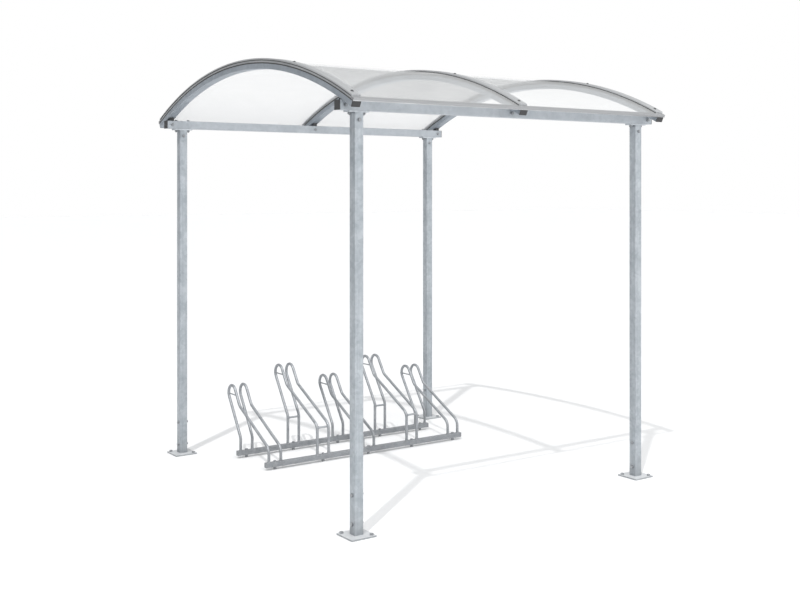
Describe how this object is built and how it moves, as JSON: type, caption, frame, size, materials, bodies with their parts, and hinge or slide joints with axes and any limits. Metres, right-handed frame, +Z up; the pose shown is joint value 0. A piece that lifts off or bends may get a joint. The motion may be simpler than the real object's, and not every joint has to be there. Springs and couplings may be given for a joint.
{
  "type": "bike shelter",
  "caption": "Open bike shelter: four square posts, two beams, curved arches with a translucent roof, and a low/high wheel rack of bent hoops.",
  "frame": {"origin": "on the ground at the centre of the four posts", "axes": "+X along the beams to the right, +Y from front to back, +Z up"},
  "size_m": [2.192, 2.3504, 2.43],
  "materials": {
    "galvanised_tube": "hot-dip galvanised, dull with faint spangle",
    "galvanised_plate": "hot-dip galvanised plate",
    "rack_steel": "galvanised bent bar",
    "aluminium_profile": "mill-finish extrusion",
    "roof_sheet": "opal multiwall polycarbonate",
    "seal_rubber": "extruded rubber seal",
    "black_plastic": "moulded black plastic"
  },
  "bodies": {
    "root": {"post_front_left": "galvanised_tube", "foot_front_left": "galvanised_plate", "head_bracket_front_left": "galvanised_plate", "post_front_right": "galvanised_tube", "foot_front_right": "galvanised_plate", "head_bracket_front_right": "galvanised_plate", "post_back_left": "galvanised_tube", "foot_back_left": "galvanised_plate", "head_bracket_back_left": "galvanised_plate", "post_back_right": "galvanised_tube", "foot_back_right": "galvanised_plate", "head_bracket_back_right": "galvanised_plate", "front_beam": "galvanised_tube", "back_beam": "galvanised_tube", "arch_left": "galvanised_tube", "lower_seal_left": "seal_rubber", "upper_seal_left": "seal_rubber", "cover_strip_left": "aluminium_profile", "arch_middle": "galvanised_tube", "lower_seal_middle": "seal_rubber", "upper_seal_middle": "seal_rubber", "cover_strip_middle": "aluminium_profile", "arch_right": "galvanised_tube", "lower_seal_right": "seal_rubber", "upper_seal_right": "seal_rubber", "cover_strip_right": "aluminium_profile", "roof_sheet_left": "roof_sheet", "edge_trim_left": "aluminium_profile", "roof_sheet_right": "roof_sheet", "edge_trim_right": "aluminium_profile", "eave_profile_front": "aluminium_profile", "rack_rail_front": "rack_steel", "eave_profile_back": "aluminium_profile", "rack_rail_back": "rack_steel", "beam_end_caps": "black_plastic", "arch_end_caps": "black_plastic", "arch_saddles": "black_plastic", "rack_spacers": "rack_steel", "hoops_low_1": "rack_steel", "hoops_high_2": "rack_steel", "hoops_low_3": "rack_steel", "hoops_high_4": "rack_steel", "hoops_low_5": "rack_steel"}
  },
  "joints": []
}
